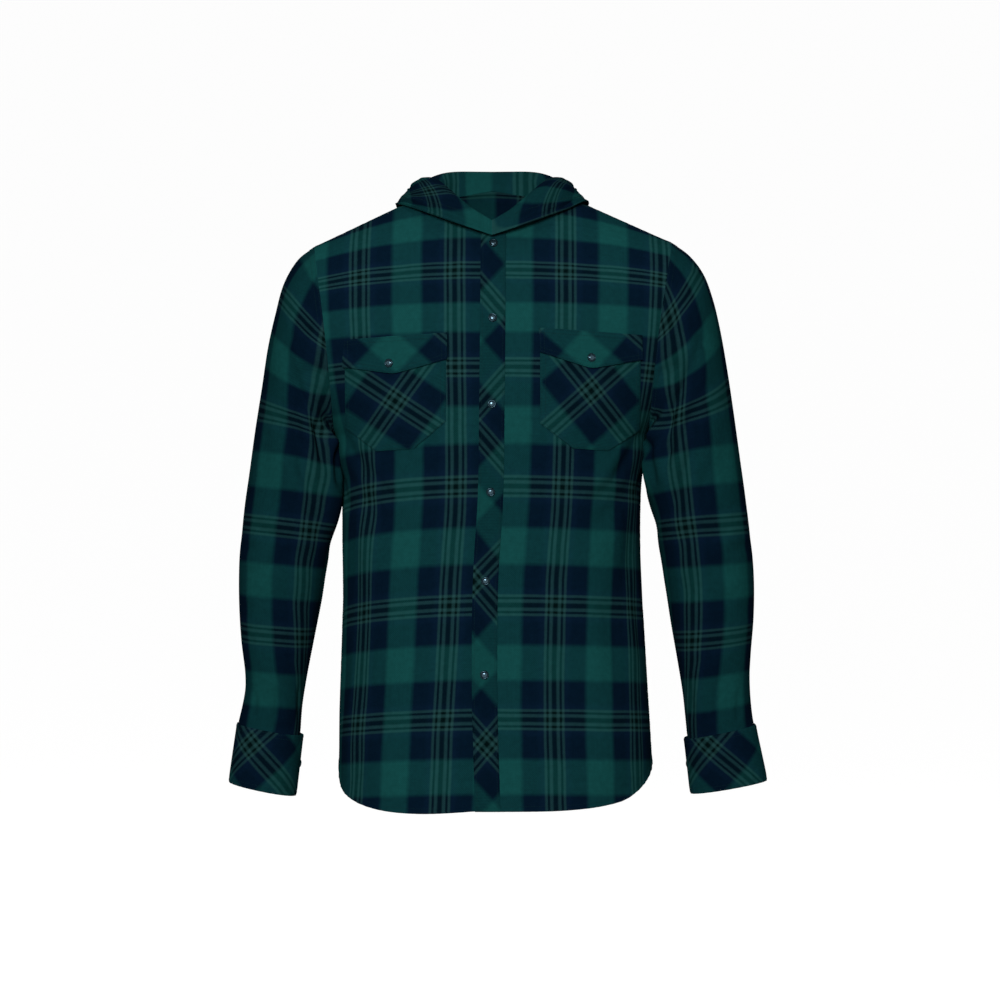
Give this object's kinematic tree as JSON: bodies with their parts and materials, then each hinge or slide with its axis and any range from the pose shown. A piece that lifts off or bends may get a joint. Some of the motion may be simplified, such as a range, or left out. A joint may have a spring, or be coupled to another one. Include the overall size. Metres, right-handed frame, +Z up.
{
  "type": "hooded shirt",
  "caption": "Long-sleeved hooded shirt in green and navy checked flannel, snap front placket, flapped chest pockets, curved hem, filled out with the hood lying back.",
  "frame": {"origin": "centre of the base of the neck, between the shoulder seams, where the wearer's neck and shoulders hold the shirt up", "axes": "+Z up, towards the head; +X towards the wearer's left; -Y towards the front"},
  "size_m": [0.679, 0.2775, 0.8244],
  "materials": {
    "flannel": "brushed green and navy check",
    "flannel_sleeve": "brushed green and navy check",
    "flannel_bias": "brushed green and navy check on the bias",
    "flannel_pocket": "brushed green and navy check on the bias",
    "flannel_hood": "brushed green and navy check",
    "pearl_snap": "dark pearl cap in a polished ring"
  },
  "bodies": {
    "root": {"front_right": "flannel", "front_left": "flannel", "back": "flannel", "sleeve_right": "flannel_sleeve", "sleeve_left": "flannel_sleeve", "cuff_right": "flannel_bias", "cuff_left": "flannel_bias", "placket": "flannel_bias", "pocket_right": "flannel_pocket", "pocket_left": "flannel_pocket", "flap_right": "flannel_pocket", "flap_left": "flannel_pocket", "hood_right": "flannel_hood", "hood_left": "flannel_hood", "snap_front_1": "pearl_snap", "snap_front_2": "pearl_snap", "snap_front_3": "pearl_snap", "snap_front_4": "pearl_snap", "snap_front_5": "pearl_snap", "snap_front_6": "pearl_snap", "snap_pocket_right": "pearl_snap", "snap_pocket_left": "pearl_snap", "snap_cuff_right": "pearl_snap", "snap_cuff_left": "pearl_snap"}
  },
  "joints": []
}
